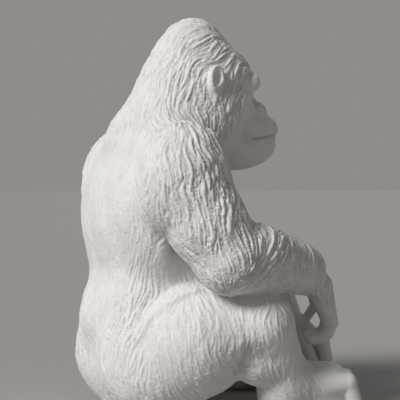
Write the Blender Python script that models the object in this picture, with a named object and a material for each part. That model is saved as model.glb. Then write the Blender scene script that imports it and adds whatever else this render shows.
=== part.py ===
"""Seated gorilla figurine, cast in one piece and finished matt white.

The animal sits upright on its buttocks and both feet, knees drawn up and parted, forearms resting
on the knees, and its right hand closed round its left wrist. It faces -Y, with its right side at -X.
Units are metres, +Z is up, and the floor is z = 0.
"""

from dataclasses import dataclass

import bpy
import numpy as np
import openvdb
from mathutils import Euler

# Finished size of the casting
WIDTH = 0.598
DEPTH = 0.524
HEIGHT = 0.762

# How finely the clay is modelled and how many triangles the finished casting keeps
VOXEL = 0.004
TRIANGLES = 11000
FAR = 0.10

RIGHT, LEFT = -1, 1

# Slices of the trunk and of the head: height, middle, half width, half depth, squareness
TRUNK = [
    (0.000, 0.005, 0.105, 0.070, 2.0),
    (0.060, 0.000, 0.150, 0.108, 2.0),
    (0.120, -0.004, 0.166, 0.120, 2.0),
    (0.180, -0.004, 0.164, 0.134, 2.0),
    (0.220, -0.004, 0.155, 0.124, 2.3),
    (0.250, -0.005, 0.148, 0.111, 2.7),
    (0.275, -0.005, 0.147, 0.108, 2.8),
    (0.300, -0.004, 0.149, 0.112, 2.8),
    (0.350, -0.006, 0.160, 0.124, 2.7),
    (0.400, -0.009, 0.166, 0.125, 2.5),
    (0.450, -0.012, 0.166, 0.117, 2.3),
    (0.490, -0.018, 0.150, 0.105, 2.1),
    (0.526, -0.030, 0.124, 0.113, 2.0),
    (0.560, -0.042, 0.101, 0.111, 2.0),
    (0.590, -0.056, 0.084, 0.098, 2.0),
    (0.620, -0.075, 0.060, 0.070, 2.0),
]
SKULL = [
    (0.468, -0.105, 0.016, 0.020, 2.0),
    (0.478, -0.098, 0.050, 0.056, 2.0),
    (0.500, -0.087, 0.074, 0.086, 2.3),
    (0.540, -0.076, 0.090, 0.099, 2.5),
    (0.570, -0.070, 0.094, 0.103, 2.5),
    (0.597, -0.074, 0.095, 0.107, 2.5),
    (0.626, -0.087, 0.094, 0.108, 2.5),
    (0.657, -0.097, 0.090, 0.107, 2.4),
    (0.680, -0.099, 0.084, 0.097, 2.2),
    (0.706, -0.092, 0.074, 0.076, 2.1),
    (0.731, -0.090, 0.058, 0.055, 2.0),
    (0.751, -0.091, 0.038, 0.035, 2.0),
    (0.762, -0.091, 0.014, 0.013, 2.0),
]

# Middle lines of the arms from shoulder to wrist, and the thickness at each point
RIGHT_ARM = [
    (-0.195, -0.006, 0.443),
    (-0.216, -0.045, 0.361),
    (-0.236, -0.077, 0.299),
    (-0.193, -0.170, 0.294),
    (-0.155, -0.229, 0.281),
    (-0.130, -0.266, 0.271),
    (-0.114, -0.288, 0.254),
]
RIGHT_ARM_RADII = [0.078, 0.071, 0.060, 0.058, 0.052, 0.044, 0.034]
LEFT_ARM = [
    (0.195, -0.006, 0.443),
    (0.216, -0.045, 0.361),
    (0.236, -0.077, 0.299),
    (0.190, -0.170, 0.288),
    (0.125, -0.245, 0.255),
    (0.065, -0.282, 0.222),
    (0.038, -0.297, 0.188),
    (0.026, -0.310, 0.166),
]
LEFT_ARM_RADII = [0.078, 0.071, 0.060, 0.057, 0.050, 0.038, 0.030, 0.025]


@dataclass
class Ball:
    """An ellipsoid of clay: centre, three radii, and a turn in degrees about X, Y and Z."""

    centre: tuple
    radii: tuple
    turn: tuple = (0, 0, 0)

    def reach(self):
        centre, size = np.array(self.centre, float), max(self.radii)
        return centre - size, centre + size

    def distance(self, x, y, z):
        axes = np.array(Euler(np.radians(self.turn), "XYZ").to_matrix())
        dx, dy, dz = x - self.centre[0], y - self.centre[1], z - self.centre[2]
        near = far = 0
        for axis, radius in zip(axes.T, self.radii):
            along = (dx * axis[0] + dy * axis[1] + dz * axis[2]) / radius
            near = near + along**2
            far = far + (along / radius) ** 2
        near = np.sqrt(near)
        return near * (near - 1) / np.sqrt(np.maximum(far, 1e-9))

    def mirrored(self):
        x, y, z = self.centre
        pitch, roll, yaw = self.turn
        return Ball((-x, y, z), self.radii, (pitch, -roll, -yaw))


@dataclass
class Roll:
    """A tapered roll of clay between two points, round at both ends."""

    start: tuple
    end: tuple
    start_radius: float
    end_radius: float

    def reach(self):
        ends = np.array([self.start, self.end], float)
        size = max(self.start_radius, self.end_radius)
        return ends.min(0) - size, ends.max(0) + size

    def distance(self, x, y, z):
        start, end = np.array(self.start, float), np.array(self.end, float)
        bone = end - start
        dx, dy, dz = x - start[0], y - start[1], z - start[2]
        share = (dx * bone[0] + dy * bone[1] + dz * bone[2]) / (bone @ bone)
        share = np.clip(share, 0, 1)
        away = (dx - share * bone[0]) ** 2 + (dy - share * bone[1]) ** 2 + (dz - share * bone[2]) ** 2
        return np.sqrt(away) - (self.start_radius + share * (self.end_radius - self.start_radius))

    def mirrored(self):
        start, end = self.start, self.end
        return Roll((-start[0], *start[1:]), (-end[0], *end[1:]), self.start_radius, self.end_radius)


class Column:
    """An upright body of slices, from oval at squareness 2 to boxy: rows as in TRUNK."""

    def __init__(self, rows):
        self.rows = np.array(rows, float)

    def reach(self):
        z, middle, width, depth, _ = self.rows.T
        low = (-width.max(), (middle - depth).min(), z.min())
        high = (width.max(), (middle + depth).max(), z.max())
        return np.array(low), np.array(high)

    def slice_at(self, z, which):
        """One measure of the slices at each height, on a curve through the rows."""
        heights, values = self.rows[:, 0], self.rows[:, which]
        slopes = np.gradient(values, heights)
        at = np.clip(np.searchsorted(heights, z) - 1, 0, len(heights) - 2)
        gap = heights[at + 1] - heights[at]
        t = np.clip((z - heights[at]) / gap, 0, 1)
        start, end = values[at], values[at + 1]
        rise, fall = slopes[at] * gap, slopes[at + 1] * gap
        return (
            start * (2 * t**3 - 3 * t**2 + 1)
            + rise * (t**3 - 2 * t**2 + t)
            + end * (3 * t**2 - 2 * t**3)
            + fall * (t**3 - t**2)
        )

    def distance(self, x, y, z):
        middle, width, depth, square = (self.slice_at(z, which) for which in (1, 2, 3, 4))
        across, along = np.abs(x) / width, np.abs(y - middle) / depth
        near = np.maximum(across**square + along**square, 1e-9) ** (1 / square)
        steep = np.sqrt((across ** (square - 1) / width) ** 2 + (along ** (square - 1) / depth) ** 2)
        side = (near - 1) * near ** (square - 1) / np.maximum(steep, 1e-6)
        ends = np.maximum(self.rows[0, 0] - z, z - self.rows[-1, 0])
        return np.maximum(side, ends)


class Clay:
    """A block of voxels that holds the distance to the figure's surface, negative inside."""

    def __init__(self, low, high, voxel):
        self.low, self.voxel = np.array(low, float), voxel
        self.counts = np.ceil((np.array(high) - self.low) / voxel).astype(int) + 1
        self.field = np.full(self.counts, FAR, np.float32)

    def window(self, shape, margin):
        """The voxels near a shape: their slices and their coordinates."""
        low, high = shape.reach()
        first = np.floor((low - margin - self.low) / self.voxel).astype(int)
        last = np.ceil((high + margin - self.low) / self.voxel).astype(int) + 1
        first, last = np.clip(first, 0, self.counts), np.clip(last, 0, self.counts)
        slices = tuple(slice(a, b) for a, b in zip(first, last))
        axes = [
            np.arange(a, b, dtype=np.float32) * np.float32(self.voxel) + np.float32(start)
            for a, b, start in zip(first, last, self.low)
        ]
        return slices, np.meshgrid(*axes, indexing="ij", sparse=True)

    def add(self, shape, blend):
        """Presses a shape on, smoothing the join over the blend length."""
        slices, grid = self.window(shape, blend + 2 * self.voxel)
        here, new = self.field[slices], shape.distance(*grid).astype(np.float32)
        overlap = np.maximum(blend - np.abs(here - new), 0)
        self.field[slices] = np.minimum(here, new) - overlap**2 / (4 * blend)

    def cut(self, shape, blend):
        """Scoops a shape out, rounding the rim over the blend length."""
        slices, grid = self.window(shape, blend + 2 * self.voxel)
        here, new = self.field[slices], -shape.distance(*grid).astype(np.float32)
        overlap = np.maximum(blend - np.abs(here - new), 0)
        self.field[slices] = np.maximum(here, new) + overlap**2 / (4 * blend)

    def add_pair(self, shape, blend):
        self.add(shape, blend)
        self.add(shape.mirrored(), blend)

    def cut_pair(self, shape, blend):
        self.cut(shape, blend)
        self.cut(shape.mirrored(), blend)

    def mesh(self):
        """The surface as points and four-sided faces, in metres."""
        grid = openvdb.FloatGrid(FAR)
        grid.copyFromArray(self.field)
        points, quads = grid.convertToQuads(isovalue=0.0)
        return points * self.voxel + self.low, quads


def turned(side, point):
    """A point given for the figure's left, on the chosen side."""
    return (side * point[0], *point[1:])


def torso(clay):
    clay.add(Column(TRUNK), 0.01)
    clay.add_pair(Ball((0.078, 0.020, 0.116), (0.096, 0.099, 0.112)), 0.02)
    clay.add_pair(Ball((0.072, 0.015, 0.044), (0.070, 0.066, 0.050)), 0.02)
    clay.add(Ball((0, -0.060, 0.215), (0.140, 0.120, 0.115)), 0.04)
    clay.add_pair(Ball((0.120, 0.010, 0.385), (0.072, 0.080, 0.120)), 0.03)
    clay.add_pair(Ball((0.078, -0.084, 0.420), (0.085, 0.045, 0.070), (10, 0, 0)), 0.03)
    clay.cut_pair(Roll((0.180, -0.004, 0.400), (0.181, -0.026, 0.275), 0.030, 0.032), 0.02)
    clay.add_pair(Ball((0.095, 0.047, 0.415), (0.070, 0.042, 0.078), (15, 0, 12)), 0.025)
    clay.add_pair(Roll((0.02, -0.026, 0.520), (0.175, -0.012, 0.486), 0.056, 0.060), 0.04)
    clay.add_pair(Roll((0.035, -0.015, 0.560), (0.110, 0.010, 0.490), 0.049, 0.045), 0.03)
    clay.cut(Roll((0, 0.138, 0.230), (0, 0.152, 0.450), 0.026, 0.024), 0.02)
    clay.cut(Roll((0, 0.152, 0.140), (0, 0.118, 0.010), 0.010, 0.014), 0.014)


def head(clay):
    clay.add(Column(SKULL), 0.02)
    clay.add_pair(Ball((0.054, -0.095, 0.570), (0.050, 0.075, 0.085), (12, 0, 0)), 0.02)
    clay.cut_pair(Ball((0.034, -0.212, 0.612), (0.026, 0.024, 0.014)), 0.010)
    clay.add(Roll((-0.044, -0.196, 0.636), (0.044, -0.196, 0.636), 0.0190, 0.0190), 0.010)
    clay.add_pair(Ball((0.056, -0.160, 0.594), (0.026, 0.034, 0.022)), 0.02)
    clay.add(Roll((0, -0.192, 0.640), (0, -0.203, 0.600), 0.020, 0.015), 0.012)
    clay.add_pair(Ball((0.027, -0.180, 0.588), (0.024, 0.030, 0.018)), 0.012)
    clay.add_pair(Ball((0.033, -0.182, 0.613), (0.0220, 0.0160, 0.0160)), 0.008)
    clay.add_pair(Ball((0.032, -0.190, 0.613), (0.0130, 0.0130, 0.0110)), 0.003)
    clay.add(Ball((0, -0.206, 0.555), (0.047, 0.065, 0.035), (12, 0, 0)), 0.018)
    clay.add(Ball((0, -0.203, 0.510), (0.045, 0.062, 0.040), (-8, 0, 0)), 0.012)
    clay.add(Ball((0, -0.168, 0.508), (0.058, 0.062, 0.042)), 0.016)
    clay.add(Roll((0, -0.206, 0.602), (0, -0.233, 0.583), 0.013, 0.014), 0.008)
    clay.add_pair(Roll((0.013, -0.221, 0.590), (0.028, -0.220, 0.576), 0.0095, 0.0120), 0.004)
    clay.add(Ball((0, -0.230, 0.570), (0.009, 0.011, 0.009)), 0.006)
    clay.cut_pair(Ball((0.0145, -0.249, 0.575), (0.0085, 0.017, 0.0072), (0, 0, -15)), 0.003)
    clay.add_pair(Ball((0.099, -0.103, 0.637), (0.013, 0.0155, 0.0255), (8, 0, 14)), 0.005)
    clay.cut_pair(Ball((0.114, -0.103, 0.640), (0.011, 0.0090, 0.0165), (8, 0, 14)), 0.003)


def arm(clay, side, path, radii):
    """Shoulder ball, then the limb as joined rolls along its path."""
    clay.add(Ball(turned(side, (0.192, -0.008, 0.462)), (0.076, 0.080, 0.086)), 0.02)
    clay.add(Ball(turned(side, (0.192, 0.010, 0.415)), (0.062, 0.068, 0.075), (-20, 0, 0)), 0.02)
    for start, end, thick, thin in zip(path, path[1:], radii, radii[1:]):
        clay.add(Roll(start, end, thick, thin), 0.012)
    clay.add(Ball(turned(side, (0.218, -0.125, 0.308)), (0.056, 0.065, 0.058)), 0.02)


def finger(clay, joints, radii):
    for start, end, thick, thin in zip(joints, joints[1:], radii, radii[1:]):
        clay.add(Roll(start, end, thick, thin), 0.0025)


def right_hand(clay):
    """Hangs from the wrist, its back to the front and its fingers curled in under the palm."""
    for count in range(4):
        x, y = -0.114 + 0.0200 * count, -0.336 - 0.0073 * count
        palm = (-0.107 + 0.4 * (x + 0.084), -0.312 + 0.4 * (y + 0.347), 0.238)
        clay.add(Roll(palm, (x, y, 0.166), 0.025, 0.0148), 0.006)
        joints = [(x, y, 0.166), (x, y + 0.008, 0.145), (x, y + 0.024, 0.136), (x + 0.004, y + 0.040, 0.134)]
        finger(clay, joints, [0.0142, 0.0122, 0.0115, 0.0105])
    thumb = [(-0.072, -0.324, 0.220), (-0.046, -0.333, 0.193),
             (-0.012, -0.334, 0.170), (0.008, -0.331, 0.155)]
    finger(clay, thumb, [0.015, 0.0100, 0.0090, 0.0088])


def left_hand(clay):
    """Hangs lower and nearer the middle, its thumb on the body's side of the fingers."""
    for count in range(4):
        x, y = -0.030 + 0.0200 * count, -0.358 - 0.0050 * count
        palm = (0.024 + 0.4 * x, -0.306 + 0.3 * (y + 0.365), 0.160)
        clay.add(Roll(palm, (x, y, 0.116), 0.025, 0.0140), 0.006)
        joints = [(x, y, 0.116), (x - 0.002, y - 0.006, 0.088),
                  (x - 0.003, y - 0.003, 0.064), (x - 0.003, y + 0.006, 0.046)]
        finger(clay, joints, [0.0135, 0.0126, 0.0118, 0.0106])
    thumb = [(0.008, -0.304, 0.150), (-0.020, -0.320, 0.120),
             (-0.024, -0.329, 0.098), (-0.027, -0.338, 0.080)]
    finger(clay, thumb, [0.019, 0.0130, 0.0120, 0.0105])


def leg(clay, side):
    clay.add(Ball(turned(side, (0.148, -0.040, 0.145)), (0.092, 0.112, 0.106), (-12, 0, side * 14)), 0.008)
    clay.add(Ball(turned(side, (0.100, 0.005, 0.095)), (0.095, 0.105, 0.095)), 0.02)
    knee = turned(side, (0.205, -0.150, 0.178))
    ankle = turned(side, (0.176, -0.216, 0.062))
    clay.add(Roll(turned(side, (0.165, -0.060, 0.160)), knee, 0.086, 0.060), 0.02)
    clay.add(Roll(knee, ankle, 0.060, 0.045), 0.015)
    clay.add(Ball(turned(side, (0.192, -0.160, 0.120)), (0.050, 0.066, 0.058)), 0.010)
    front = turned(side, (0.268, -0.228, 0.215))
    clay.cut(Roll(front, turned(side, (0.236, -0.255, 0.115)), 0.034, 0.034), 0.015)
    foot(clay, side)


def foot(clay, side):
    """Sole flat on the floor, four toes bent forward and a big toe set apart on the inside."""
    clay.add(Ball(turned(side, (0.174, -0.200, 0.034)), (0.036, 0.038, 0.040)), 0.012)
    clay.add(Ball(turned(side, (0.172, -0.265, 0.022)), (0.036, 0.080, 0.030)), 0.012)
    instep = turned(side, (0.174, -0.210, 0.060))
    clay.add(Roll(instep, turned(side, (0.164, -0.306, 0.055)), 0.047, 0.042), 0.02)
    for toe in range(4):
        x, y = 0.205 - 0.021 * toe, -0.327 - 0.008 * toe
        knuckle, tip = turned(side, (x, y, 0.062)), turned(side, (x, y - 0.019, 0.0145))
        clay.add(Roll(turned(side, (0.185 - 0.010 * toe, -0.270, 0.058)), knuckle, 0.031, 0.0180), 0.007)
        clay.add(Roll(knuckle, tip, 0.0170, 0.0142), 0.0025)
    big_toe = turned(side, (0.110, -0.300, 0.042))
    clay.add(Roll(turned(side, (0.150, -0.250, 0.038)), big_toe, 0.032, 0.023), 0.012)
    clay.add(Roll(big_toe, turned(side, (0.100, -0.344, 0.017)), 0.022, 0.0180), 0.006)


def modelled():
    """The whole animal as clay."""
    clay = Clay((-0.36, -0.44, -0.03), (0.36, 0.20, 0.80), VOXEL)
    torso(clay)
    head(clay)
    for side, path, radii in ((RIGHT, RIGHT_ARM, RIGHT_ARM_RADII), (LEFT, LEFT_ARM, LEFT_ARM_RADII)):
        leg(clay, side)
        arm(clay, side, path, radii)
    right_hand(clay)
    left_hand(clay)
    return clay


def floor_cutter():
    """A block whose top is the floor; it planes the seat and the soles flat."""
    bpy.ops.mesh.primitive_cube_add(size=1)
    block = bpy.context.active_object
    block.name = "floor_cutter"
    block.scale = (1.0, 1.0, 0.2)
    block.location = (0, 0, -0.1)
    block.hide_render = True
    block.display_type = "WIRE"
    return block


def matt_white():
    finish = bpy.data.materials.new("matt_white")
    finish.use_nodes = True
    shader = finish.node_tree.nodes["Principled BSDF"]
    shader.inputs["Base Color"].default_value = (0.80, 0.79, 0.77, 1)
    shader.inputs["Roughness"].default_value = 0.75
    shader.inputs["Metallic"].default_value = 0
    return finish


def figurine():
    points, quads = modelled().mesh()
    standing = points[points[:, 2] > 0]
    start, end = standing.min(0), standing.max(0)
    start[2] = 0
    points = (points - start) / (end - start) * (WIDTH, DEPTH, HEIGHT) - (WIDTH / 2, DEPTH / 2, 0)
    mesh = bpy.data.meshes.new("gorilla_figurine")
    mesh.from_pydata(points.tolist(), [], quads.tolist())
    mesh.shade_smooth()
    mesh.materials.append(matt_white())
    made = bpy.data.objects.new("gorilla_figurine", mesh)
    bpy.context.scene.collection.objects.link(made)
    lighten = made.modifiers.new("lighten", "DECIMATE")
    lighten.ratio = TRIANGLES / (2 * len(quads))
    plane = made.modifiers.new("stand", "BOOLEAN")
    plane.object = floor_cutter()
    plane.operation = "DIFFERENCE"
    plane.solver = "EXACT"
    return made


for old in list(bpy.data.objects):
    bpy.data.objects.remove(old)
figurine()
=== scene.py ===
"""A seated gorilla figurine, one matt white casting with carved fur, in plain soft light.

The animal is modelled as clay at a finer grain than its frame, then the fur is carved along the lie
of the coat, and the creases of face, hands and feet are drawn in. It faces -Y, with its right at -X.
"""

from dataclasses import dataclass

import bpy
import numpy as np
import openvdb
from mathutils import Euler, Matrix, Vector


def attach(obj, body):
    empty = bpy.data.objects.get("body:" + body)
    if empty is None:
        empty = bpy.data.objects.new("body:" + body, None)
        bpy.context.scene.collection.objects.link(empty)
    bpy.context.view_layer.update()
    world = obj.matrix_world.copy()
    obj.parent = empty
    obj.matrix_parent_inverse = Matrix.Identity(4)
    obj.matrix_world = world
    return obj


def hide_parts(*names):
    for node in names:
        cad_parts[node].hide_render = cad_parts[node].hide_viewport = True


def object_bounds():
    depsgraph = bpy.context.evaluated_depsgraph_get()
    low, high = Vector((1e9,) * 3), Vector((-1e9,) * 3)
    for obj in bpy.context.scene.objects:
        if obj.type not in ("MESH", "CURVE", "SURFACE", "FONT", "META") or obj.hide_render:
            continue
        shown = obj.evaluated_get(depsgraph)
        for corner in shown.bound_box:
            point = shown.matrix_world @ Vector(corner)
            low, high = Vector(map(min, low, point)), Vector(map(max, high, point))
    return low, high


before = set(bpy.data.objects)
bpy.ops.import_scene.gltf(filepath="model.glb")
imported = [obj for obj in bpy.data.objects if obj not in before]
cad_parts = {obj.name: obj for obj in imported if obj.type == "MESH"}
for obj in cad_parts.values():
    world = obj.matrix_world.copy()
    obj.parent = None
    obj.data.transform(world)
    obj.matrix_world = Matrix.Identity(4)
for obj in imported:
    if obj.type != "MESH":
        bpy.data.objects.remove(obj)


def plain_box():
    """The two corners of everything shown, as plain lists."""
    low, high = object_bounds()
    return [list(low), list(high)]


cad_box = plain_box()

# Size of the clay's voxels, and the distance that voxels far from any clay hold
VOXEL = 0.0021
FAR = 0.10

# The block of space that the clay is modelled in
BLOCK_LOW, BLOCK_HIGH = (-0.36, -0.44, -0.03), (0.36, 0.20, 0.80)

RIGHT, LEFT = -1, 1

# Slices of the trunk and of the head: height, middle, half width, half depth, squareness
TRUNK = [
    (0.000, 0.005, 0.105, 0.070, 2.0),
    (0.060, 0.000, 0.150, 0.108, 2.0),
    (0.120, -0.004, 0.166, 0.120, 2.0),
    (0.180, -0.004, 0.164, 0.134, 2.0),
    (0.220, -0.004, 0.155, 0.124, 2.3),
    (0.250, -0.005, 0.148, 0.111, 2.7),
    (0.275, -0.005, 0.147, 0.108, 2.8),
    (0.300, -0.004, 0.149, 0.112, 2.8),
    (0.350, -0.006, 0.160, 0.124, 2.7),
    (0.400, -0.009, 0.166, 0.125, 2.5),
    (0.450, -0.012, 0.166, 0.117, 2.3),
    (0.490, -0.018, 0.150, 0.105, 2.1),
    (0.526, -0.030, 0.124, 0.113, 2.0),
    (0.560, -0.042, 0.101, 0.111, 2.0),
    (0.590, -0.056, 0.084, 0.098, 2.0),
    (0.620, -0.075, 0.060, 0.070, 2.0),
]
SKULL = [
    (0.468, -0.105, 0.016, 0.020, 2.0),
    (0.478, -0.098, 0.050, 0.056, 2.0),
    (0.500, -0.087, 0.074, 0.086, 2.3),
    (0.540, -0.076, 0.090, 0.099, 2.5),
    (0.570, -0.070, 0.094, 0.103, 2.5),
    (0.597, -0.074, 0.095, 0.107, 2.5),
    (0.626, -0.087, 0.094, 0.108, 2.5),
    (0.657, -0.097, 0.090, 0.107, 2.4),
    (0.680, -0.099, 0.084, 0.097, 2.2),
    (0.706, -0.092, 0.074, 0.076, 2.1),
    (0.731, -0.090, 0.058, 0.055, 2.0),
    (0.751, -0.091, 0.038, 0.035, 2.0),
    (0.762, -0.091, 0.014, 0.013, 2.0),
]

# Middle lines of the arms from shoulder to wrist, and the thickness at each point
RIGHT_ARM = [
    (-0.195, -0.006, 0.443),
    (-0.216, -0.045, 0.361),
    (-0.236, -0.077, 0.299),
    (-0.193, -0.170, 0.294),
    (-0.155, -0.229, 0.281),
    (-0.130, -0.266, 0.271),
    (-0.114, -0.288, 0.254),
]
RIGHT_ARM_RADII = [0.078, 0.071, 0.060, 0.058, 0.052, 0.044, 0.034]
LEFT_ARM = [
    (0.195, -0.006, 0.443),
    (0.216, -0.045, 0.361),
    (0.236, -0.077, 0.299),
    (0.190, -0.170, 0.288),
    (0.125, -0.245, 0.255),
    (0.065, -0.282, 0.222),
    (0.038, -0.297, 0.188),
    (0.026, -0.310, 0.166),
]
LEFT_ARM_RADII = [0.078, 0.071, 0.060, 0.057, 0.050, 0.038, 0.030, 0.025]

# The lie of the coat on the right half: place, direction of the hair, depth of the carving in mm
COAT = [
    ((-0.030, -0.170, 0.680), (-0.2, 0.80, 0.50), 1.6),
    ((-0.030, -0.090, 0.755), (0.0, 1.00, -0.10), 1.9),
    ((-0.030, -0.020, 0.720), (0.0, 0.60, -0.80), 1.8),
    ((-0.085, -0.110, 0.685), (0.0, 0.75, -0.65), 1.8),
    ((-0.090, -0.150, 0.640), (0.0, 0.50, -0.85), 1.7),
    ((-0.098, -0.060, 0.630), (0.0, 0.20, -1.00), 1.9),
    ((-0.095, -0.120, 0.560), (0.0, 0.20, -1.00), 1.9),
    ((-0.060, -0.150, 0.500), (0.0, 0.50, -0.85), 1.2),
    ((-0.060, 0.030, 0.600), (0.0, 0.10, -1.00), 1.7),
    ((0.000, 0.050, 0.580), (0.0, 0.30, -1.00), 1.4),
    ((-0.090, -0.020, 0.540), (-0.2, 0.00, -1.00), 1.6),
    ((-0.120, 0.000, 0.530), (-0.8, 0.00, -0.50), 1.6),
    ((-0.190, -0.010, 0.540), (-0.6, 0.10, -0.80), 2.0),
    ((-0.260, 0.000, 0.460), (0.0, 0.05, -1.00), 2.3),
    ((-0.220, -0.080, 0.470), (0.0, -0.25, -1.00), 2.3),
    ((-0.210, 0.070, 0.440), (0.0, 0.10, -1.00), 1.9),
    ((-0.280, -0.040, 0.380), (0.0, -0.10, -1.00), 2.4),
    ((-0.250, -0.120, 0.380), (0.0, 0.10, -1.00), 1.8),
    ((-0.290, -0.080, 0.310), (0.0, 0.10, -1.00), 2.2),
    ((-0.280, -0.110, 0.270), (0.0, 0.50, -0.85), 2.3),
    ((-0.250, -0.030, 0.300), (0.0, -0.50, -0.85), 2.2),
    ((-0.270, -0.140, 0.310), (0.0, 0.50, -0.85), 2.0),
    ((-0.240, -0.180, 0.300), (0.0, 0.50, -0.85), 1.9),
    ((-0.200, -0.230, 0.290), (0.1, 0.30, -0.90), 1.7),
    ((-0.150, -0.290, 0.270), (0.2, -0.40, -0.80), 2.0),
    ((-0.120, -0.330, 0.230), (0.0, -0.10, -1.00), 1.6),
    ((-0.190, -0.170, 0.350), (-0.6, 0.20, -0.20), 1.8),
    ((-0.150, 0.040, 0.400), (0.0, -0.10, -1.00), 1.3),
    ((-0.160, 0.020, 0.280), (0.0, 0.15, -1.00), 1.0),
    ((-0.150, 0.100, 0.180), (0.0, 0.25, -1.00), 2.9),
    ((-0.170, 0.050, 0.240), (0.0, 0.35, -0.95), 1.9),
    ((-0.100, 0.140, 0.100), (0.0, 0.00, -1.00), 1.9),
    ((0.000, 0.120, 0.400), (0.0, 0.00, -1.00), 1.1),
    ((-0.080, 0.100, 0.480), (0.1, 0.20, -1.00), 1.3),
    ((-0.140, 0.090, 0.380), (0.1, 0.00, -1.00), 1.3),
    ((-0.080, 0.120, 0.240), (0.0, 0.00, -1.00), 1.4),
    ((-0.080, -0.140, 0.420), (0.1, -0.10, -1.00), 0.9),
    ((0.000, -0.130, 0.400), (0.0, 0.00, -1.00), 0.9),
    ((0.000, -0.190, 0.220), (0.0, 0.00, -1.00), 0.9),
    ((-0.120, -0.120, 0.250), (0.3, 0.00, -1.00), 0.9),
    ((-0.190, -0.100, 0.230), (-0.5, -0.30, -0.80), 0.9),
    ((-0.245, -0.080, 0.160), (0.0, -0.20, -1.00), 1.3),
    ((-0.210, 0.030, 0.120), (0.0, -0.30, -1.00), 1.1),
    ((-0.200, -0.030, 0.050), (0.0, -0.70, -0.70), 1.4),
    ((-0.220, -0.200, 0.190), (0.0, -0.10, -1.00), 1.0),
    ((-0.235, -0.190, 0.120), (0.0, 0.00, -1.00), 1.1),
    ((-0.235, -0.140, 0.100), (0.0, -0.45, -0.90), 1.6),
    ((-0.200, -0.250, 0.100), (0.0, -0.60, -0.50), 0.8),
    ((-0.100, -0.120, 0.160), (0.0, 0.00, -1.00), 0.9),
    ((-0.140, -0.190, 0.120), (0.0, 0.00, -1.00), 0.8),
]

# Two layers of hair: seed, size of speck, steps along the lie of the coat, and stride
LOCKS = (3, 0.0035, 10, 0.0024)
HAIRS = (5, 0.0026, 9, 0.0022)

# Where a layer's noise crosses from groove to lock, and the height it is held to
GROOVED, CROWNED = 0.8, 1.7

# Depth at which a groove has its full painted shade, a darker colour standing in for the shade in the
# carving
PAINTED_SHADE_DEPTH = 0.0016

# The pieces that the casting is shown as, each with marks inside it
REGIONS = {
    "head": [(0, -0.110, 0.620)],
    "shoulders": [(0, 0.000, 0.480), (0.08, 0.02, 0.46), (-0.08, 0.02, 0.46)],
    "trunk": [(0, -0.010, 0.300), (0, -0.06, 0.38)],
    "seat": [(0, 0.060, 0.110), (0.08, 0.06, 0.1), (-0.08, 0.06, 0.1)],
    "right_arm": [(-0.220, -0.020, 0.420), (-0.230, -0.130, 0.330),
                  (-0.130, -0.290, 0.260), (-0.085, -0.340, 0.170)],
    "left_arm": [(0.220, -0.020, 0.420), (0.230, -0.130, 0.330),
                 (0.120, -0.270, 0.260), (0.010, -0.350, 0.100)],
    "right_leg": [(-0.160, -0.070, 0.130), (-0.190, -0.270, 0.060)],
    "left_leg": [(0.160, -0.070, 0.130), (0.190, -0.270, 0.060)],
}

# Folds on the right half, copied to the left: the line, half width and depth in metres.
# In turn the top of the thigh, the calf, and two knuckles
FOLDS = [
    ([(-0.163, 0.072, 0.145), (-0.174, 0.053, 0.187),
      (-0.193, -0.005, 0.232), (-0.192, -0.046, 0.244)], 0.0060, 0.0030),
    ([(-0.221, -0.099, 0.090), (-0.240, -0.106, 0.122), (-0.252, -0.114, 0.145)], 0.0090, 0.0026),
    ([(-0.118, -0.311, 0.182), (-0.127, -0.319, 0.177), (-0.133, -0.334, 0.176)], 0.0018, 0.0014),
    ([(-0.116, -0.314, 0.162), (-0.123, -0.323, 0.159), (-0.130, -0.336, 0.160)], 0.0018, 0.0014),
]

# The line between the lips
MOUTH = [(-0.046, -0.205, 0.5265), (-0.036, -0.240, 0.5310), (0, -0.272, 0.5400),
         (0.036, -0.240, 0.5310), (0.046, -0.205, 0.5265)]

# The left eye's place, and how far forward its lid lines are
EYE_X, EYE_Z = 0.033, 0.6115
LID_FRONT = -0.2075

# The lid lines: half width, height at the corners, height in the middle, and depth.
# First the slit between the lids, then the fold above it
LID_LINES = ((0.0115, 0.6085, 0.6110, 0.0030), (0.0125, 0.6125, 0.6185, 0.0016))

# Fingers beside the thumb, and toes beside the big toe
DIGITS = 4

# How far apart across, and how far forward of one another, the right fingers, left fingers and toes are
RIGHT_PITCH, RIGHT_LAG = 0.0200, 0.0073
LEFT_PITCH, LEFT_LAG = 0.0200, 0.0050
TOE_PITCH, TOE_LAG = 0.021, 0.008


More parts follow.
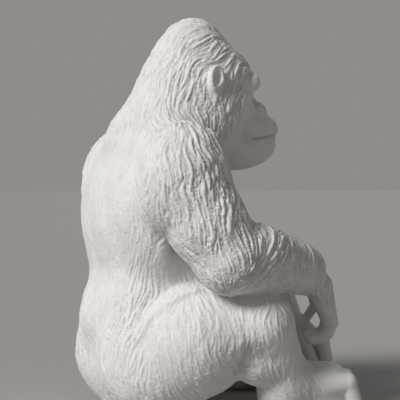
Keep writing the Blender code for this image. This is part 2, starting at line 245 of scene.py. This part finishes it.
def drawn_lines():
    """Every line cut into the surface: its points, how much each axis counts, half width and depth."""
    all_axes = (1, 1, 1)
    drawn = [(MOUTH, (0.3, 0.3, 1), 0.0019, 0.0045)]
    for side in (RIGHT, LEFT):
        for width, corner, middle, deep in LID_LINES:
            lid = [(side * (EYE_X + across * width), LID_FRONT + 0.004 * abs(across), height)
                   for across, height in zip((-1, -0.4, 0.4, 1), (corner, middle, middle, corner))]
            drawn.append((lid, (1, 0.4, 1), 0.0016, deep))
    for gap in range(DIGITS - 1):
        x, y = -0.104 + RIGHT_PITCH * gap, -0.340 - RIGHT_LAG * gap
        line = [(x - 0.001, y, 0.182), (x, y, 0.160), (x, y + 0.010, 0.140), (x + 0.002, y + 0.030, 0.133)]
        drawn.append((line, all_axes, 0.0060, 0.0030))
        x, y = -0.020 + LEFT_PITCH * gap, -0.361 - LEFT_LAG * gap
        line = [(x, y, 0.122), (x - 0.002, y - 0.005, 0.088),
                (x - 0.003, y - 0.002, 0.064), (x - 0.003, y, 0.040)]
        drawn.append((line, (1, 0.25, 1), 0.0030, 0.0040))
        for side in (RIGHT, LEFT):
            x, y = side * (0.1945 - TOE_PITCH * gap), -0.331 - TOE_LAG * gap
            line = [(x, y + 0.010, 0.074), (x, y - 0.010, 0.064), (x, y - 0.022, 0.020)]
            drawn.append((line, (1, 0.5, 0.5), 0.0030, 0.0050))
    for line, width, depth in FOLDS:
        for side in (LEFT, RIGHT):
            drawn.append(([(side * x, y, z) for x, y, z in line], all_axes, width, depth))
    return drawn


@dataclass
class Ball:
    """An ellipsoid of clay: centre, three radii, and a turn in degrees about X, Y and Z."""

    centre: tuple
    radii: tuple
    turn: tuple = (0, 0, 0)

    def reach(self):
        centre, size = np.array(self.centre, float), max(self.radii)
        return centre - size, centre + size

    def distance(self, x, y, z):
        axes = np.array(Euler(np.radians(self.turn), "XYZ").to_matrix())
        dx, dy, dz = x - self.centre[0], y - self.centre[1], z - self.centre[2]
        near = far = 0
        for axis, radius in zip(axes.T, self.radii):
            along = (dx * axis[0] + dy * axis[1] + dz * axis[2]) / radius
            near = near + along**2
            far = far + (along / radius) ** 2
        near = np.sqrt(near)
        return near * (near - 1) / np.sqrt(np.maximum(far, 1e-9))

    def mirrored(self):
        x, y, z = self.centre
        pitch, roll, yaw = self.turn
        return Ball((-x, y, z), self.radii, (pitch, -roll, -yaw))


@dataclass
class Roll:
    """A tapered roll of clay between two points, round at both ends."""

    start: tuple
    end: tuple
    start_radius: float
    end_radius: float

    def reach(self):
        ends = np.array([self.start, self.end], float)
        size = max(self.start_radius, self.end_radius)
        return ends.min(0) - size, ends.max(0) + size

    def distance(self, x, y, z):
        start, end = np.array(self.start, float), np.array(self.end, float)
        bone = end - start
        dx, dy, dz = x - start[0], y - start[1], z - start[2]
        share = (dx * bone[0] + dy * bone[1] + dz * bone[2]) / (bone @ bone)
        share = np.clip(share, 0, 1)
        away = (dx - share * bone[0]) ** 2 + (dy - share * bone[1]) ** 2 + (dz - share * bone[2]) ** 2
        return np.sqrt(away) - (self.start_radius + share * (self.end_radius - self.start_radius))

    def mirrored(self):
        start, end = self.start, self.end
        return Roll((-start[0], *start[1:]), (-end[0], *end[1:]), self.start_radius, self.end_radius)


class Column:
    """An upright body of slices, from oval at squareness 2 to boxy: rows as in TRUNK."""

    def __init__(self, rows):
        self.rows = np.array(rows, float)

    def reach(self):
        z, middle, width, depth, _ = self.rows.T
        low = (-width.max(), (middle - depth).min(), z.min())
        high = (width.max(), (middle + depth).max(), z.max())
        return np.array(low), np.array(high)

    def slice_at(self, z, which):
        """One measure of the slices at each height, on a curve through the rows."""
        heights, values = self.rows[:, 0], self.rows[:, which]
        slopes = np.gradient(values, heights)
        at = np.clip(np.searchsorted(heights, z) - 1, 0, len(heights) - 2)
        gap = heights[at + 1] - heights[at]
        t = np.clip((z - heights[at]) / gap, 0, 1)
        start, end = values[at], values[at + 1]
        rise, fall = slopes[at] * gap, slopes[at + 1] * gap
        return (
            start * (2 * t**3 - 3 * t**2 + 1)
            + rise * (t**3 - 2 * t**2 + t)
            + end * (3 * t**2 - 2 * t**3)
            + fall * (t**3 - t**2)
        )

    def distance(self, x, y, z):
        middle, width, depth, square = (self.slice_at(z, which) for which in (1, 2, 3, 4))
        across, along = np.abs(x) / width, np.abs(y - middle) / depth
        near = np.maximum(across**square + along**square, 1e-9) ** (1 / square)
        steep = np.sqrt((across ** (square - 1) / width) ** 2 + (along ** (square - 1) / depth) ** 2)
        side = (near - 1) * near ** (square - 1) / np.maximum(steep, 1e-6)
        ends = np.maximum(self.rows[0, 0] - z, z - self.rows[-1, 0])
        return np.maximum(side, ends)


class Clay:
    """A block of voxels that holds the distance to the figure's surface, negative inside."""

    def __init__(self, low, high, voxel):
        self.low, self.voxel = np.array(low, float), voxel
        self.counts = np.ceil((np.array(high) - self.low) / voxel).astype(int) + 1
        self.field = np.full(self.counts, FAR, np.float32)

    def window(self, shape, margin):
        """The voxels near a shape: their slices and their coordinates."""
        low, high = shape.reach()
        first = np.floor((low - margin - self.low) / self.voxel).astype(int)
        last = np.ceil((high + margin - self.low) / self.voxel).astype(int) + 1
        first, last = np.clip(first, 0, self.counts), np.clip(last, 0, self.counts)
        slices = tuple(slice(a, b) for a, b in zip(first, last))
        axes = [
            np.arange(a, b, dtype=np.float32) * np.float32(self.voxel) + np.float32(start)
            for a, b, start in zip(first, last, self.low)
        ]
        return slices, np.meshgrid(*axes, indexing="ij", sparse=True)

    def add(self, shape, blend):
        """Presses a shape on, smoothing the join over the blend length."""
        slices, grid = self.window(shape, blend + 2 * self.voxel)
        here, new = self.field[slices], shape.distance(*grid).astype(np.float32)
        overlap = np.maximum(blend - np.abs(here - new), 0)
        self.field[slices] = np.minimum(here, new) - overlap**2 / (4 * blend)

    def cut(self, shape, blend):
        """Scoops a shape out, rounding the rim over the blend length."""
        slices, grid = self.window(shape, blend + 2 * self.voxel)
        here, new = self.field[slices], -shape.distance(*grid).astype(np.float32)
        overlap = np.maximum(blend - np.abs(here - new), 0)
        self.field[slices] = np.maximum(here, new) + overlap**2 / (4 * blend)

    def add_pair(self, shape, blend):
        self.add(shape, blend)
        self.add(shape.mirrored(), blend)

    def cut_pair(self, shape, blend):
        self.cut(shape, blend)
        self.cut(shape.mirrored(), blend)

    def mesh(self):
        """The surface as points and four-sided faces, in metres."""
        grid = openvdb.FloatGrid(FAR)
        grid.copyFromArray(self.field)
        points, quads = grid.convertToQuads(isovalue=0.0)
        return points * self.voxel + self.low, quads


def turned(side, point):
    """A point given for the figure's left, on the chosen side."""
    return (side * point[0], *point[1:])


def torso(clay):
    """Trunk with seat, belly, chest, hollow flanks, shoulder blades and the furrow of the back."""
    clay.add(Column(TRUNK), 0.01)
    clay.add_pair(Ball((0.078, 0.020, 0.116), (0.096, 0.099, 0.112)), 0.02)
    clay.add_pair(Ball((0.072, 0.015, 0.044), (0.070, 0.066, 0.050)), 0.02)
    clay.add(Ball((0, -0.060, 0.215), (0.140, 0.120, 0.115)), 0.04)
    clay.add_pair(Ball((0.120, 0.010, 0.385), (0.072, 0.080, 0.120)), 0.03)
    clay.add_pair(Ball((0.078, -0.084, 0.420), (0.085, 0.045, 0.070), (10, 0, 0)), 0.03)
    clay.cut_pair(Roll((0.180, -0.004, 0.400), (0.181, -0.026, 0.275), 0.030, 0.032), 0.02)
    clay.add_pair(Ball((0.095, 0.047, 0.415), (0.070, 0.042, 0.078), (15, 0, 12)), 0.025)
    clay.add_pair(Roll((0.02, -0.026, 0.520), (0.175, -0.012, 0.486), 0.056, 0.060), 0.04)
    clay.add_pair(Roll((0.035, -0.015, 0.560), (0.110, 0.010, 0.490), 0.049, 0.045), 0.03)
    clay.cut(Roll((0, 0.138, 0.230), (0, 0.152, 0.450), 0.026, 0.024), 0.02)
    clay.cut(Roll((0, 0.152, 0.140), (0, 0.118, 0.010), 0.010, 0.014), 0.014)


def head(clay):
    """Skull with eye sockets, brow, cheeks and nose, both jaws, and the ears."""
    clay.add(Column(SKULL), 0.02)
    clay.add_pair(Ball((0.054, -0.095, 0.570), (0.050, 0.075, 0.085), (12, 0, 0)), 0.02)
    clay.cut_pair(Ball((0.034, -0.212, 0.612), (0.026, 0.024, 0.014)), 0.010)
    clay.add(Roll((-0.044, -0.196, 0.636), (0.044, -0.196, 0.636), 0.0190, 0.0190), 0.010)
    clay.add_pair(Ball((0.056, -0.160, 0.594), (0.026, 0.034, 0.022)), 0.02)
    clay.add(Roll((0, -0.192, 0.640), (0, -0.203, 0.600), 0.020, 0.015), 0.012)
    clay.add_pair(Ball((0.027, -0.180, 0.588), (0.024, 0.030, 0.018)), 0.012)
    clay.add_pair(Ball((0.033, -0.182, 0.613), (0.0220, 0.0160, 0.0160)), 0.008)
    clay.add_pair(Ball((0.032, -0.190, 0.613), (0.0130, 0.0130, 0.0110)), 0.003)
    clay.add(Ball((0, -0.206, 0.555), (0.047, 0.065, 0.035), (12, 0, 0)), 0.018)
    clay.add(Ball((0, -0.203, 0.510), (0.045, 0.062, 0.040), (-8, 0, 0)), 0.012)
    clay.add(Ball((0, -0.168, 0.508), (0.058, 0.062, 0.042)), 0.016)
    clay.add(Roll((0, -0.206, 0.602), (0, -0.233, 0.583), 0.013, 0.014), 0.008)
    clay.add_pair(Roll((0.013, -0.221, 0.590), (0.028, -0.220, 0.576), 0.0095, 0.0120), 0.004)
    clay.add(Ball((0, -0.230, 0.570), (0.009, 0.011, 0.009)), 0.006)
    clay.cut_pair(Ball((0.0145, -0.249, 0.575), (0.0085, 0.017, 0.0072), (0, 0, -15)), 0.003)
    clay.add_pair(Ball((0.099, -0.103, 0.637), (0.013, 0.0155, 0.0255), (8, 0, 14)), 0.005)
    clay.cut_pair(Ball((0.114, -0.103, 0.640), (0.011, 0.0090, 0.0165), (8, 0, 14)), 0.003)


def arm(clay, side, path, radii):
    """Shoulder ball, then the limb as joined rolls along its path."""
    clay.add(Ball(turned(side, (0.192, -0.008, 0.462)), (0.076, 0.080, 0.086)), 0.02)
    clay.add(Ball(turned(side, (0.192, 0.010, 0.415)), (0.062, 0.068, 0.075), (-20, 0, 0)), 0.02)
    for start, end, thick, thin in zip(path, path[1:], radii, radii[1:]):
        clay.add(Roll(start, end, thick, thin), 0.012)
    clay.add(Ball(turned(side, (0.218, -0.125, 0.308)), (0.056, 0.065, 0.058)), 0.02)


def finger(clay, joints, radii):
    """Joined rolls from the knuckle to the tip."""
    for start, end, thick, thin in zip(joints, joints[1:], radii, radii[1:]):
        clay.add(Roll(start, end, thick, thin), 0.0025)


def right_hand(clay):
    """Hangs from the wrist, its back to the front and its fingers curled in under the palm."""
    for count in range(DIGITS):
        x, y = -0.114 + RIGHT_PITCH * count, -0.336 - RIGHT_LAG * count
        palm = (-0.107 + 0.4 * (x + 0.084), -0.312 + 0.4 * (y + 0.347), 0.238)
        clay.add(Roll(palm, (x, y, 0.166), 0.025, 0.0148), 0.006)
        joints = [(x, y, 0.166), (x, y + 0.008, 0.145), (x, y + 0.024, 0.136), (x + 0.004, y + 0.040, 0.134)]
        finger(clay, joints, [0.0142, 0.0122, 0.0115, 0.0105])
    thumb = [(-0.072, -0.324, 0.220), (-0.046, -0.333, 0.193),
             (-0.012, -0.334, 0.170), (0.008, -0.331, 0.155)]
    finger(clay, thumb, [0.015, 0.0100, 0.0090, 0.0088])


def left_hand(clay):
    """Hangs lower and nearer the middle, its thumb on the body's side of the fingers."""
    for count in range(DIGITS):
        x, y = -0.030 + LEFT_PITCH * count, -0.358 - LEFT_LAG * count
        palm = (0.024 + 0.4 * x, -0.306 + 0.3 * (y + 0.365), 0.160)
        clay.add(Roll(palm, (x, y, 0.116), 0.025, 0.0140), 0.006)
        joints = [(x, y, 0.116), (x - 0.002, y - 0.006, 0.088),
                  (x - 0.003, y - 0.003, 0.064), (x - 0.003, y + 0.006, 0.046)]
        finger(clay, joints, [0.0135, 0.0126, 0.0118, 0.0106])
    thumb = [(0.008, -0.304, 0.150), (-0.020, -0.320, 0.120),
             (-0.024, -0.329, 0.098), (-0.027, -0.338, 0.080)]
    finger(clay, thumb, [0.019, 0.0130, 0.0120, 0.0105])


def leg(clay, side):
    """Thigh, knee and calf, the front of the shin hollowed, then the foot."""
    clay.add(Ball(turned(side, (0.148, -0.040, 0.145)), (0.092, 0.112, 0.106), (-12, 0, side * 14)), 0.008)
    clay.add(Ball(turned(side, (0.100, 0.005, 0.095)), (0.095, 0.105, 0.095)), 0.02)
    knee = turned(side, (0.205, -0.150, 0.178))
    ankle = turned(side, (0.176, -0.216, 0.062))
    clay.add(Roll(turned(side, (0.165, -0.060, 0.160)), knee, 0.086, 0.060), 0.02)
    clay.add(Roll(knee, ankle, 0.060, 0.045), 0.015)
    clay.add(Ball(turned(side, (0.192, -0.160, 0.120)), (0.050, 0.066, 0.058)), 0.010)
    front = turned(side, (0.268, -0.228, 0.215))
    clay.cut(Roll(front, turned(side, (0.236, -0.255, 0.115)), 0.034, 0.034), 0.015)
    foot(clay, side)


def foot(clay, side):
    """Sole flat on the floor, four toes bent forward and a big toe set apart on the inside."""
    clay.add(Ball(turned(side, (0.174, -0.200, 0.034)), (0.036, 0.038, 0.040)), 0.012)
    clay.add(Ball(turned(side, (0.172, -0.265, 0.022)), (0.036, 0.080, 0.030)), 0.012)
    instep = turned(side, (0.174, -0.210, 0.060))
    clay.add(Roll(instep, turned(side, (0.164, -0.306, 0.055)), 0.047, 0.042), 0.02)
    for toe in range(DIGITS):
        x, y = 0.205 - TOE_PITCH * toe, -0.327 - TOE_LAG * toe
        knuckle, tip = turned(side, (x, y, 0.062)), turned(side, (x, y - 0.019, 0.0145))
        root = turned(side, (0.185 - 0.010 * toe, -0.270, 0.058))
        clay.add(Roll(root, knuckle, 0.031, 0.0180), 0.007)
        clay.add(Roll(knuckle, tip, 0.0170, 0.0142), 0.0025)
    big_toe = turned(side, (0.110, -0.300, 0.042))
    clay.add(Roll(turned(side, (0.150, -0.250, 0.038)), big_toe, 0.032, 0.023), 0.012)
    clay.add(Roll(big_toe, turned(side, (0.100, -0.344, 0.017)), 0.022, 0.0180), 0.006)


def modelled():
    """The whole animal as clay."""
    clay = Clay(BLOCK_LOW, BLOCK_HIGH, VOXEL)
    torso(clay)
    head(clay)
    for side, path, radii in ((RIGHT, RIGHT_ARM, RIGHT_ARM_RADII), (LEFT, LEFT_ARM, LEFT_ARM_RADII)):
        leg(clay, side)
        arm(clay, side, path, radii)
    right_hand(clay)
    left_hand(clay)
    return clay


def fine_features(clay):
    """What is too small for the frame: rims of the ears and of the nostrils, and the eyes."""
    rim = [(0.1065 + 0.004 * np.cos(turn), -0.1025 + 0.0128 * np.cos(turn), 0.638 + 0.0225 * np.sin(turn))
           for turn in np.radians(np.linspace(165, -85, 11))]
    bead = 0.0036
    for start, end in zip(rim, rim[1:]):
        clay.add_pair(Roll(start, end, bead, bead), 0.002)
    clay.cut_pair(Ball((0.1135, -0.1035, 0.640), (0.0120, 0.0088, 0.0165)), 0.002)
    clay.add_pair(Roll((0.1050, -0.0980, 0.651), (0.1060, -0.0985, 0.631), 0.0028, 0.0030), 0.002)
    clay.add_pair(Ball((0.1050, -0.1150, 0.634), (0.0040, 0.0040, 0.0055)), 0.003)
    clay.add_pair(Roll((0.022, -0.223, 0.596), (0.035, -0.216, 0.586), 0.0050, 0.0056), 0.0025)
    clay.add_pair(Roll((0.035, -0.216, 0.586), (0.034, -0.224, 0.571), 0.0056, 0.0050), 0.0025)
    eyes(clay)


def eyes(clay):
    """Deepened sockets with an eyeball in each, and lids as rolls that lie on the ball."""
    x, y, z = EYE_X, -0.1930, EYE_Z
    size, lid_thickness = 0.0125, 0.0032
    upper_lift, lower_lift = 40, -30
    clay.cut_pair(Ball((x, -0.214, z), (0.023, 0.021, 0.0125)), 0.004)
    clay.add_pair(Ball((x, y, z), (size, size, size)), 0.0015)
    for lift in (upper_lift, lower_lift):
        turns = np.radians(np.linspace(-85, 85, 9))
        rises = np.radians(lift) * np.cos(turns)
        across, out, up = np.sin(turns) * np.cos(rises), np.cos(turns) * np.cos(rises), np.sin(rises)
        lid = list(zip(x + size * across, y - size * out, z + size * up))
        for start, end in zip(lid, lid[1:]):
            clay.add_pair(Roll(start, end, lid_thickness, lid_thickness), 0.0012)


def soft(value, start, end):
    """Rises smoothly from 0 at start to 1 at end; start may be the larger."""
    t = np.clip((value - start) / (end - start), 0, 1)
    return t * t * (3 - 2 * t)


def unit(arrows):
    """Arrows brought to length 1."""
    return arrows / np.maximum(np.linalg.norm(arrows, axis=1, keepdims=True), 1e-9)


def flat_on(slope, arrows):
    """Arrows laid down in the surface that the slope stands on, all of length 1."""
    return unit(arrows - slope * (arrows * slope).sum(1, keepdims=True))


class Coat:
    """The lie and the depth of the fur in the space close to the skin, on a coarser block of cells.

    STRIDE is how many voxels make a cell, SKIN how far from the skin the cells are filled, and SPREAD
    how gently one guide gives way to the next. Slow waves of WAVE_LENGTH turn the hair by WAVE, and
    APART keeps the three axes from waving alike.
    """

    STRIDE = 2
    SKIN = 0.02
    SPREAD = 0.018
    WAVE_LENGTH, WAVE, APART = 0.035, 0.22, 0.2

    def __init__(self, clay, guides):
        field = clay.field[:: self.STRIDE, :: self.STRIDE, :: self.STRIDE]
        self.low, self.cell = clay.low, clay.voxel * self.STRIDE
        near = np.abs(field) < self.SKIN
        places = np.argwhere(near) * self.cell + self.low
        lie, depth = self.blended(places, guides)
        slope = unit(np.stack([part[near] for part in np.gradient(field)], axis=1))
        lie = flat_on(slope, lie)
        waves = Grain(11, self.WAVE_LENGTH)
        for axis in range(3):
            lie[:, axis] += self.WAVE * waves.at(places + axis * self.APART)
        lie = flat_on(slope, lie)
        self.shape = np.array(field.shape)
        self.lie = np.zeros((field.size, 3), np.float32)
        self.depth = np.zeros(field.size, np.float32)
        self.lie[near.ravel()] = lie
        self.depth[near.ravel()] = depth

    def blended(self, places, guides):
        """Every guide's say at each place, strongest close by."""
        total = np.zeros(len(places))
        lie, depth = np.zeros((len(places), 3)), np.zeros(len(places))
        for place, direction, deep in guides:
            away = ((places - np.array(place)) ** 2).sum(1)
            say = 1 / (away + self.SPREAD**2) ** 2
            total += say
            lie += say[:, None] * np.array(direction)
            depth += say * deep
        return lie / total[:, None], depth / total

    def cell_of(self, points):
        """The number of the cell that each point is in."""
        where = np.rint((points - self.low) / self.cell).astype(np.int64)
        x, y, z = np.clip(where, 0, self.shape - 1).T
        return (x * self.shape[1] + y) * self.shape[2] + z

    def strands(self, points, grain, steps, stride):
        """Grain drawn out along the lie of the coat, so that it reads as strands."""
        total = grain.at(points)
        for sense in (1, -1):
            here = points.copy()
            for step in range(1, steps + 1):
                here += sense * stride * self.lie[self.cell_of(here)]
                total += np.cos(0.5 * np.pi * step / (steps + 1)) * grain.at(here)
        return total / total.std()


class Grain:
    """Even random grain that fills space: FINENESS cells to a speck, repeating every COUNT cells."""

    COUNT = 128
    FINENESS = 2.2

    def __init__(self, seed, size):
        self.cell = size / self.FINENESS
        chance = np.random.default_rng(seed)
        rough = np.fft.rfftn(chance.standard_normal((self.COUNT,) * 3))
        turns = np.meshgrid(*[np.fft.fftfreq(self.COUNT)] * 2, np.fft.rfftfreq(self.COUNT), indexing="ij")
        pace = sum(turn**2 for turn in turns)
        smooth = np.fft.irfftn(rough * np.exp(-pace * (2.0 * self.FINENESS) ** 2), s=(self.COUNT,) * 3)
        self.values = (smooth / smooth.std()).astype(np.float32).ravel()

    def at(self, points):
        x, y, z = (np.rint(points / self.cell).astype(np.int32) & (self.COUNT - 1)).T
        return self.values[(x * self.COUNT + y) * self.COUNT + z]


def both_sides(guides):
    """The guides of the right half together with their mirror images."""
    other = [((-x, y, z), (-dx, dy, dz), deep) for (x, y, z), (dx, dy, dz), deep in guides]
    return guides + other


def furry(points):
    """1 where the figure has fur, falling to 0 on face, ears, hands and feet."""
    x, y, z = points.T
    mask = np.sqrt((x / 0.088) ** 2 + ((z - 0.571) / 0.104) ** 2)
    face = soft(y, -0.156, -0.172) * soft(mask, 1.08, 0.90)
    from_ear = np.sqrt(((np.abs(x) - 0.104) / 0.8) ** 2 + (y + 0.103) ** 2 + ((z - 0.637) / 1.5) ** 2)
    ear = soft(from_ear, 0.024, 0.018)
    hand = soft(y, -0.270, -0.282) * soft(z, 0.208, 0.190) * soft(x, 0.085, 0.070) * soft(x, -0.145, -0.135)
    foot_skin = soft(y, -0.262, -0.288) * soft(z, 0.100, 0.086)
    bare = np.maximum.reduce([face, ear, hand, foot_skin])
    return 1 - bare


def fur_relief(coat, points):
    """How far the carved locks and the finer hairs on them lift or cut each point, in metres."""
    millimetre, bald = 0.001, 1e-5
    depth = millimetre * coat.depth[coat.cell_of(points)] * furry(points)
    furred = depth > bald
    where = points[furred]
    locks, hairs = (layer(coat, where, *spec) for spec in (LOCKS, HAIRS))
    x, y, z = where.T
    arms = soft(np.abs(x), 0.160, 0.185) * soft(z, 0.22, 0.26)
    forearms = soft(y, -0.15, -0.18) * soft(z, 0.19, 0.22)
    shaggy = np.maximum.reduce([soft(z, 0.50, 0.54), arms, forearms])
    carving = (0.25 + 0.90 * shaggy) * locks
    carving += (0.90 - 0.40 * shaggy) * hairs
    depth[furred] *= carving
    return depth


def layer(coat, points, seed, size, steps, stride):
    """One layer of hair at each point, from below 0 in a groove to above 0 on a lock."""
    strands = np.abs(coat.strands(points, Grain(seed, size), steps, stride))
    return np.minimum(strands, CROWNED) - GROOVED


def along_line(points, line, reach):
    """Each point's distance from a broken line; how far apart they are on an axis counts by its reach."""
    nearest = np.full(len(points), FAR)
    scaled, line = points * reach, np.array(line) * reach
    for start, end in zip(line, line[1:]):
        bone = end - start
        share = np.clip((scaled - start) @ bone / (bone @ bone), 0, 1)
        nearest = np.minimum(nearest, np.linalg.norm(scaled - start - share[:, None] * bone, axis=1))
    return nearest


def creases(points):
    """How deep the drawn lines cut each point, in metres."""
    cut = np.zeros(len(points))
    for line, reach, width, depth in drawn_lines():
        margin = 2.5 * width + 0.02
        low, high = np.min(line, axis=0) - margin, np.max(line, axis=0) + margin
        close = ((points > low) & (points < high)).all(1)
        cut[close] += depth * np.exp(-((along_line(points[close], line, reach) / width) ** 2))
    return cut


def outward(mesh):
    """The normal at each point of a mesh."""
    flat = np.empty(len(mesh.vertices) * 3, np.float32)
    mesh.vertex_normals.foreach_get("vector", flat)
    return flat.reshape(-1, 3).astype(float)


def matt_white():
    """White coat over cast resin: faint cloudy tone, painted shade that darkens the grooves and recesses,
    and a fine tooth.
    """
    finish = bpy.data.materials.new("matt_white")
    finish.use_nodes = True
    nodes, links = finish.node_tree.nodes, finish.node_tree.links
    cream, white = (0.790, 0.772, 0.748, 1), (0.835, 0.822, 0.805, 1)
    painted_shade_tone, plain = (0.80, 0.785, 0.77, 1), (1, 1, 1, 1)
    shader = nodes["Principled BSDF"]
    shader.inputs["Specular IOR Level"].default_value = 0.35
    place = nodes.new("ShaderNodeTexCoord")
    clouds = noise(nodes, links, place, 14.0, 4.0)
    tooth = noise(nodes, links, place, 900.0, 3.0)
    tint = ramp(nodes, links, clouds, 0.35, cream, 0.70, white)
    # Painted shade: the colour darkens where the carving cuts in, standing in for the shade that falls in
    # grooves and creases.
    painted_groove_shade = nodes.new("ShaderNodeAttribute")
    painted_groove_shade.attribute_name = "painted_groove_shade"
    painted_recess_shade = ramp(nodes, links, painted_groove_shade.outputs["Fac"], 0.0, painted_shade_tone, 0.80, plain)
    shade = nodes.new("ShaderNodeMix")
    shade.data_type = "RGBA"
    shade.blend_type = "MULTIPLY"
    shade.inputs["Factor"].default_value = 1.0
    first_colour, second_colour, mixed_colour = 6, 7, 2
    links.new(tint, shade.inputs[first_colour])
    links.new(painted_recess_shade, shade.inputs[second_colour])
    links.new(shade.outputs[mixed_colour], shader.inputs["Base Color"])
    wear = nodes.new("ShaderNodeMapRange")
    wear.inputs["To Min"].default_value = 0.60
    wear.inputs["To Max"].default_value = 0.74
    links.new(clouds, wear.inputs["Value"])
    links.new(wear.outputs["Result"], shader.inputs["Roughness"])
    bump = nodes.new("ShaderNodeBump")
    bump.inputs["Strength"].default_value = 0.25
    bump.inputs["Distance"].default_value = 0.0006
    links.new(tooth, bump.inputs["Height"])
    links.new(bump.outputs["Normal"], shader.inputs["Normal"])
    return finish


def noise(nodes, links, place, scale, detail):
    """Noise in the figure's own space."""
    made = nodes.new("ShaderNodeTexNoise")
    made.inputs["Scale"].default_value = scale
    made.inputs["Detail"].default_value = detail
    links.new(place.outputs["Object"], made.inputs["Vector"])
    return made.outputs["Fac"]


def ramp(nodes, links, value, low, dark, high, light):
    """A value turned into a colour between two stops."""
    made = nodes.new("ShaderNodeValToRGB")
    for stop, at, colour in zip(made.color_ramp.elements, (low, high), (dark, light)):
        stop.position = at
        stop.color = colour
    links.new(value, made.inputs["Fac"])
    return made.outputs["Color"]


def nearest_region(places):
    """The name of the region whose marks lie closest to each place."""
    names = list(REGIONS)
    closest = np.full(len(places), np.inf)
    found = np.zeros(len(places), int)
    for number, name in enumerate(names):
        for mark in REGIONS[name]:
            away = ((places - np.array(mark)) ** 2).sum(1)
            nearer = away < closest
            closest[nearer], found[nearer] = away[nearer], number
    return names, found


def region(name, points, quads, normals, painted_groove_shade, finish):
    """One stretch of the casting as a piece, shaded as part of the whole."""
    used, corners = np.unique(quads, return_inverse=True)
    mesh = bpy.data.meshes.new(name)
    mesh.from_pydata(points[used].tolist(), [], corners.reshape(-1, 4).tolist())
    mesh.shade_smooth()
    mesh.normals_split_custom_set_from_vertices(normals[used].tolist())
    # This attribute carries the painted shade of the grooves to the material.
    mesh.attributes.new("painted_groove_shade", "FLOAT", "POINT").data.foreach_set("value", painted_groove_shade[used])
    mesh.materials.append(finish)
    piece = bpy.data.objects.new(name, mesh)
    bpy.context.scene.collection.objects.link(piece)
    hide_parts("gorilla_figurine")
    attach(piece, "root")


def carved(points, normals, coat):
    """The clay with its fur and lines, stretched to stand in the box of the solid part.

    Also how each point lies in the carving, from 0 in a groove to 1 on plain skin or a lock; this sets the
    painted shade in the grooves.
    """
    low, high = np.array(cad_box)
    standing = points[points[:, 2] > 0]
    start, end = standing.min(0), standing.max(0)
    start[2] = 0
    lift = fur_relief(coat, points.astype(np.float32)) - creases(points)
    moved = low + (points + normals * lift[:, None] - start) * (high - low) / (end - start)
    # The second value drives the painted shade: the deeper a point is cut in, the darker its colour, up to
    # full shade at a set depth.
    return np.clip(moved, low, high), np.clip(1 + lift / PAINTED_SHADE_DEPTH, 0, 1).astype(np.float32)


def figurine():
    """The whole casting, split into its pieces once its points and normals are settled."""
    clay = modelled()
    fine_features(clay)
    points, quads = clay.mesh()
    coat = Coat(clay, both_sides(COAT))
    whole = bpy.data.meshes.new("whole")
    whole.from_pydata(points.tolist(), [], quads.tolist())
    names, found = nearest_region(points[quads[:, 0]])
    points, painted_groove_shade = carved(points, outward(whole), coat)
    whole.vertices.foreach_set("co", points.astype(np.float32).ravel())
    whole.update()
    normals, finish = outward(whole), matt_white()
    for number, name in enumerate(names):
        region(name, points, quads[found == number], normals, painted_groove_shade, finish)
    bpy.data.meshes.remove(whole)


def floor_colour():
    finish = bpy.data.materials.new("pale_floor")
    finish.use_nodes = True
    shader = finish.node_tree.nodes["Principled BSDF"]
    shader.inputs["Base Color"].default_value = (0.44, 0.425, 0.41, 1)
    shader.inputs["Roughness"].default_value = 0.9
    shader.inputs["Specular IOR Level"].default_value = 0.1
    return finish


def sun(name, direction, softness, strength):
    """A soft light that falls along one direction everywhere."""
    light = bpy.data.lights.new(name, "SUN")
    light.angle = softness
    light.energy = strength
    made = bpy.data.objects.new(name, light)
    made.rotation_euler = Vector(direction).to_track_quat("-Z", "Y").to_euler()
    bpy.context.scene.collection.objects.link(made)


def surround():
    """Weak even light from all round, with a plain warm grey behind the figure."""
    soft_white, warm_grey = (1.0, 0.985, 0.97, 1), (0.275, 0.263, 0.250, 1)
    world = bpy.data.worlds.new("studio")
    bpy.context.scene.world = world
    world.use_nodes = True
    nodes, links = world.node_tree.nodes, world.node_tree.links
    around = nodes["Background"]
    around.inputs["Color"].default_value = soft_white
    around.inputs["Strength"].default_value = 0.15
    wall = nodes.new("ShaderNodeBackground")
    wall.inputs["Color"].default_value = warm_grey
    ray = nodes.new("ShaderNodeLightPath")
    choice = nodes.new("ShaderNodeMixShader")
    links.new(ray.outputs["Is Camera Ray"], choice.inputs["Fac"])
    links.new(around.outputs["Background"], choice.inputs[1])
    links.new(wall.outputs["Background"], choice.inputs[2])
    links.new(choice.outputs["Shader"], nodes["World Output"].inputs["Surface"])


def studio():
    """A plain pale floor, a soft light from above and behind, and a weak one from the front left."""
    bpy.ops.mesh.primitive_plane_add(size=80)
    floor = bpy.context.active_object
    floor.name = "floor"
    floor.data.materials.append(floor_colour())
    sun("key", (0.310, -0.765, -0.565), 0.36, 2.60)
    sun("fill", (-0.75, 0.55, -0.36), 0.60, 0.30)
    surround()


def camera():
    """Level, 2.6 m away, on the animal's right and a little behind it."""
    place, level_sight = (-2.4774, 0.9263, 0.4483), (0.940, -0.342, 0)
    lens = bpy.data.cameras.new("photo_view")
    lens.lens = 120.04
    lens.sensor_width = 36
    lens.shift_y = -0.055
    seen = bpy.data.objects.new("photo_view", lens)
    seen.location = place
    seen.rotation_euler = Vector(level_sight).to_track_quat("-Z", "Y").to_euler()
    bpy.context.scene.collection.objects.link(seen)
    bpy.context.scene.camera = seen


bpy.context.scene.view_settings.view_transform = "Standard"
figurine()
studio()
camera()
